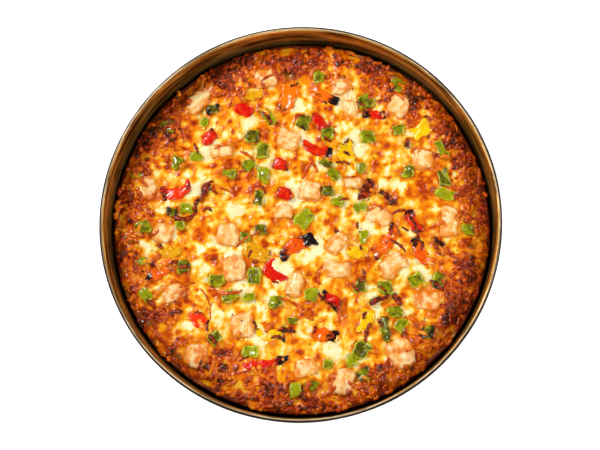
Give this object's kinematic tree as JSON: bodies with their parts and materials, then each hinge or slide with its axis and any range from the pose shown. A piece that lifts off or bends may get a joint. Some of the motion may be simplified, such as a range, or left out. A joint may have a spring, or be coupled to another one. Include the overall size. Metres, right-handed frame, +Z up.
{
  "type": "deep dish pizza in its pan",
  "caption": "Round deep dish pizza with browned cheese, chicken and mixed pepper pieces, in a bronze-brown steel pan with a rolled rim.",
  "frame": {"origin": "centre of the pan's underside, where the pan rests", "axes": "+Z up out of the pan; +Y towards the top of the pizza as it is seen from above, +X to its right"},
  "size_m": [0.3048, 0.3048, 0.05],
  "materials": {
    "pan_steel": "seasoned steel, bronze brown with darker rubbed streaks, satin",
    "dough": "baked dough, golden tan, dull",
    "cheese": "baked cheese, cream and gold with orange brown blisters, oily",
    "chicken": "roast chicken, pale with golden edges, moist",
    "red_pepper": "roast red pepper, glossy, charred in places",
    "orange_pepper": "roast orange pepper, glossy, charred tips",
    "yellow_pepper": "roast yellow pepper, glossy, brown edges",
    "green_pepper": "roast green pepper, glossy, olive and dark in places"
  },
  "bodies": {
    "root": {"pan": "pan_steel", "crust": "dough", "cheese": "cheese", "chicken_01": "chicken", "chicken_02": "chicken", "chicken_03": "chicken", "chicken_04": "chicken", "chicken_05": "chicken", "chicken_06": "chicken", "chicken_07": "chicken", "chicken_08": "chicken", "chicken_09": "chicken", "chicken_10": "chicken", "chicken_11": "chicken", "chicken_12": "chicken", "chicken_13": "chicken", "chicken_14": "chicken", "chicken_15": "chicken", "chicken_16": "chicken", "chicken_17": "chicken", "chicken_18": "chicken", "chicken_19": "chicken", "chicken_20": "chicken", "chicken_21": "chicken", "chicken_22": "chicken", "chicken_23": "chicken", "chicken_24": "chicken", "chicken_25": "chicken", "chicken_26": "chicken", "chicken_27": "chicken", "red_pepper_1": "red_pepper", "red_pepper_2": "red_pepper", "red_pepper_3": "red_pepper", "red_pepper_4": "red_pepper", "red_pepper_5": "red_pepper", "red_pepper_6": "red_pepper", "red_pepper_7": "red_pepper", "red_pepper_8": "red_pepper", "orange_pepper_1": "orange_pepper", "orange_pepper_2": "orange_pepper", "orange_pepper_3": "orange_pepper", "orange_pepper_4": "orange_pepper", "orange_pepper_5": "orange_pepper", "orange_pepper_6": "orange_pepper", "orange_pepper_7": "orange_pepper", "yellow_pepper_1": "yellow_pepper", "yellow_pepper_2": "yellow_pepper", "yellow_pepper_3": "yellow_pepper", "yellow_pepper_4": "yellow_pepper", "yellow_pepper_5": "yellow_pepper", "yellow_pepper_6": "yellow_pepper", "yellow_pepper_7": "yellow_pepper", "yellow_pepper_8": "yellow_pepper", "green_pepper_1": "green_pepper", "green_pepper_2": "green_pepper", "green_pepper_3": "green_pepper", "green_pepper_4": "green_pepper", "green_pepper_5": "green_pepper", "green_pepper_6": "green_pepper", "green_pepper_7": "green_pepper"}
  },
  "joints": []
}
